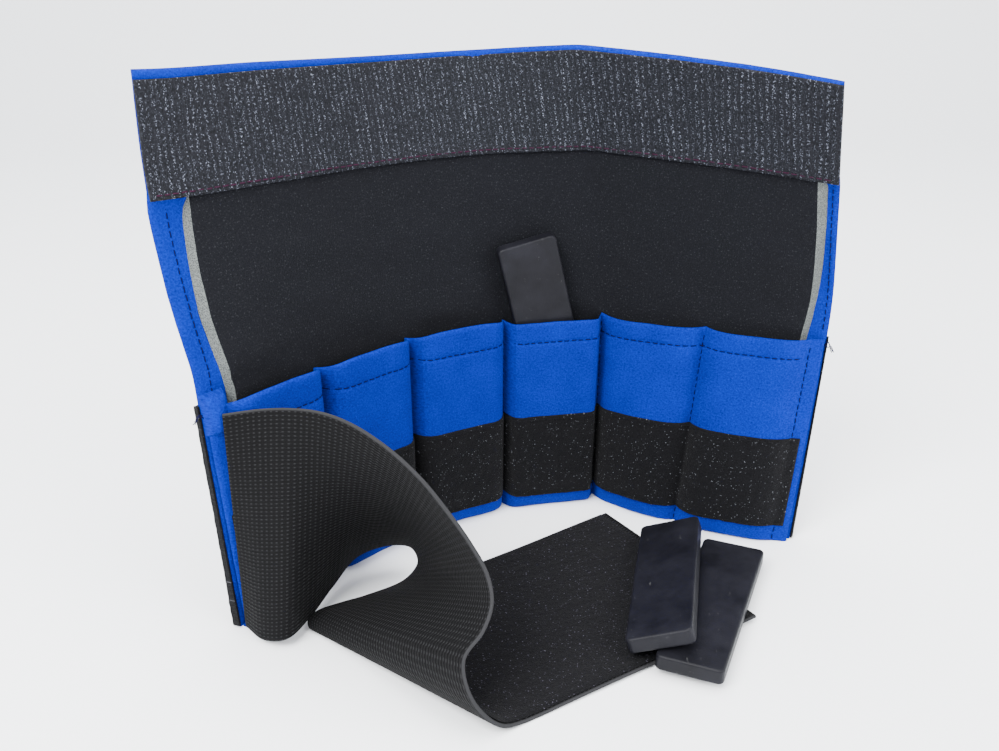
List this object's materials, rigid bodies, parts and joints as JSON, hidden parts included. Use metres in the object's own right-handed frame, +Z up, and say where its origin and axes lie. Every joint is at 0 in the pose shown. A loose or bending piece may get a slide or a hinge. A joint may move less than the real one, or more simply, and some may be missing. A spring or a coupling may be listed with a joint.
{
  "type": "ankle cuff weight",
  "caption": "Soft pocketed ankle cuff with removable flat weight bars, a fold-over flap closed by hook and loop strips, and a wide elastic closing strap.",
  "frame": {"origin": "middle of the bottom face of the fourth panel's shell, on the surface the cuff stands on", "axes": "+Z up, +X to the right along the opened cuff as seen from its pocket side, +Y away from the pocket side"},
  "size_m": [0.3079, 0.2139, 0.2589],
  "materials": {
    "shell_fabric": "napped neoprene laminate",
    "pocket_fabric": "napped neoprene laminate",
    "liner_foam": "knitted jersey on foam",
    "hook_tape": "ribbed hook tape with a slight sheen",
    "loop_tape": "fuzzy loop tape",
    "outer_loop_tape": "fuzzy loop tape",
    "strap_elastic": "ribbed woven elastic",
    "strap_hook_tape": "fuzzy tape with diagonal rib sheen",
    "bar_coating": "satin black coating, scuffed at the edges"
  },
  "bodies": {
    "panel_1": {"shell_panel_1": "shell_fabric", "liner_panel_1": "liner_foam", "outer_loop_1": "outer_loop_tape", "pocket_front_1": "pocket_fabric", "loop_strip_1": "loop_tape"},
    "flap_1": {"shell_flap_1": "shell_fabric", "liner_flap_1": "liner_foam", "hook_strip_1": "hook_tape"},
    "panel_2": {"shell_panel_2": "shell_fabric", "liner_panel_2": "liner_foam", "outer_loop_2": "outer_loop_tape", "pocket_front_2": "pocket_fabric", "loop_strip_2": "loop_tape"},
    "flap_2": {"shell_flap_2": "shell_fabric", "liner_flap_2": "liner_foam", "hook_strip_2": "hook_tape"},
    "panel_3": {"shell_panel_3": "shell_fabric", "liner_panel_3": "liner_foam", "outer_loop_3": "outer_loop_tape", "pocket_front_3": "pocket_fabric", "loop_strip_3": "loop_tape"},
    "flap_3": {"shell_flap_3": "shell_fabric", "liner_flap_3": "liner_foam", "hook_strip_3": "hook_tape"},
    "panel_4": {"shell_panel_4": "shell_fabric", "liner_panel_4": "liner_foam", "outer_loop_4": "outer_loop_tape", "pocket_front_4": "pocket_fabric", "loop_strip_4": "loop_tape"},
    "flap_4": {"shell_flap_4": "shell_fabric", "liner_flap_4": "liner_foam", "hook_strip_4": "hook_tape"},
    "panel_5": {"shell_panel_5": "shell_fabric", "liner_panel_5": "liner_foam", "outer_loop_5": "outer_loop_tape", "pocket_front_5": "pocket_fabric", "loop_strip_5": "loop_tape"},
    "flap_5": {"shell_flap_5": "shell_fabric", "liner_flap_5": "liner_foam", "hook_strip_5": "hook_tape"},
    "panel_6": {"shell_panel_6": "shell_fabric", "liner_panel_6": "liner_foam", "outer_loop_6": "outer_loop_tape", "pocket_front_6": "pocket_fabric", "loop_strip_6": "loop_tape"},
    "flap_6": {"shell_flap_6": "shell_fabric", "liner_flap_6": "liner_foam", "hook_strip_6": "hook_tape"},
    "strap": {"strap_web": "strap_elastic", "strap_tail": "strap_elastic", "strap_hook": "strap_hook_tape"},
    "bar_1": {"weight_bar_1": "bar_coating"},
    "bar_2": {"weight_bar_2": "bar_coating"},
    "bar_3": {"weight_bar_3": "bar_coating"},
    "bar_4": {"weight_bar_4": "bar_coating"},
    "bar_5": {"weight_bar_5": "bar_coating"},
    "bar_6": {"weight_bar_6": "bar_coating"}
  },
  "joints": [
    {"name": "bend_1", "type": "hinge", "parent": "panel_2", "child": "panel_1", "pos_m": [-0.11739, -0.07581, 0.065], "axis": [0, 0, -1], "range_deg": [0, 10]},
    {"name": "bend_2", "type": "hinge", "parent": "panel_3", "child": "panel_2", "pos_m": [-0.07578, -0.03834, 0.065], "axis": [0, 0, -1], "range_deg": [0, 15]},
    {"name": "bend_3", "type": "hinge", "parent": "panel_4", "child": "panel_3", "pos_m": [-0.02588, -0.01291, 0.065], "axis": [0, 0, -1], "range_deg": [0, 15]},
    {"name": "bend_4", "type": "hinge", "parent": "panel_4", "child": "panel_5", "pos_m": [0.0289, -0.00127, 0.065], "axis": [0, 0, 1], "range_deg": [0, 36]},
    {"name": "bend_5", "type": "hinge", "parent": "panel_5", "child": "panel_6", "pos_m": [0.08005, -0.02405, 0.065], "axis": [0, 0, 1], "range_deg": [-12, 0]},
    {"name": "flap_fold", "type": "hinge", "parent": "panel_4", "child": "flap_4", "pos_m": [0.00296, -0.01394, 0.131], "axis": [0.9781, 0.2079, 0], "range_deg": [0, 178], "deforming": ["shell_flap_1", "liner_flap_1", "hook_strip_1", "shell_flap_2", "liner_flap_2", "hook_strip_2", "shell_flap_3", "liner_flap_3", "hook_strip_3", "shell_flap_4", "liner_flap_4", "hook_strip_4", "shell_flap_5", "liner_flap_5", "hook_strip_5", "shell_flap_6", "liner_flap_6", "hook_strip_6"]},
    {"name": "flap_fold_1", "type": "hinge", "parent": "panel_1", "child": "flap_1", "pos_m": [-0.12912, -0.10218, 0.131], "axis": [0.6157, 0.788, 0], "range_deg": [0, 178]},
    {"name": "flap_fold_2", "type": "hinge", "parent": "panel_2", "child": "flap_2", "pos_m": [-0.0919, -0.06227, 0.131], "axis": [0.7431, 0.6691, 0], "range_deg": [0, 178]},
    {"name": "flap_fold_3", "type": "hinge", "parent": "panel_3", "child": "flap_3", "pos_m": [-0.04765, -0.03186, 0.131], "axis": [0.891, 0.454, 0], "range_deg": [0, 178]},
    {"name": "flap_fold_5", "type": "hinge", "parent": "panel_5", "child": "flap_5", "pos_m": [0.05163, -0.01905, 0.131], "axis": [0.9135, -0.4067, 0], "range_deg": [0, 169.1]},
    {"name": "flap_fold_6", "type": "hinge", "parent": "panel_6", "child": "flap_6", "pos_m": [0.10279, -0.04183, 0.131], "axis": [0.9135, -0.4067, 0], "range_deg": [0, 161.19]},
    {"name": "strap_swing", "type": "hinge", "parent": "panel_1", "child": "strap", "pos_m": [-0.1521, -0.12527, 0.058], "axis": [0, 0, -1], "range_deg": [0, 140]},
    {"name": "bar_4_seat", "type": "hinge", "parent": "panel_4", "child": "bar_4", "pos_m": [-0.20592, -0.05568, 0.06487], "axis": [0.2079, -0.9781, 0], "range_deg": [-13, 0]},
    {"name": "bar_1_slide", "type": "slide", "parent": "panel_1", "child": "bar_1", "axis": [0, 0, -1], "range_m": [-0.106, 0]},
    {"name": "bar_2_slide", "type": "slide", "parent": "panel_2", "child": "bar_2", "axis": [0, 0, -1], "range_m": [-0.106, 0]},
    {"name": "bar_3_slide", "type": "slide", "parent": "panel_3", "child": "bar_3", "axis": [0, 0, -1], "range_m": [-0.106, 0]},
    {"name": "bar_5_lift", "type": "slide", "parent": "strap", "child": "bar_5", "axis": [0, 0, 1], "range_m": [0, 0.1]},
    {"name": "bar_6_lift", "type": "slide", "parent": "bar_5", "child": "bar_6", "axis": [0, 0, 1], "range_m": [0, 0.1]}
  ],
  "couplings": [
    {"joint": "flap_fold_1", "follows": "flap_fold", "ratio": 1},
    {"joint": "flap_fold_2", "follows": "flap_fold", "ratio": 1},
    {"joint": "flap_fold_3", "follows": "flap_fold", "ratio": 1},
    {"joint": "flap_fold_5", "follows": "flap_fold", "ratio": 0.95},
    {"joint": "flap_fold_6", "follows": "flap_fold", "ratio": 0.90555},
    {"joint": "strap_swing", "follows": "flap_fold", "ratio": 0.78652},
    {"joint": "bar_4_seat", "follows": "flap_fold", "ratio": -0.073033}
  ]
}
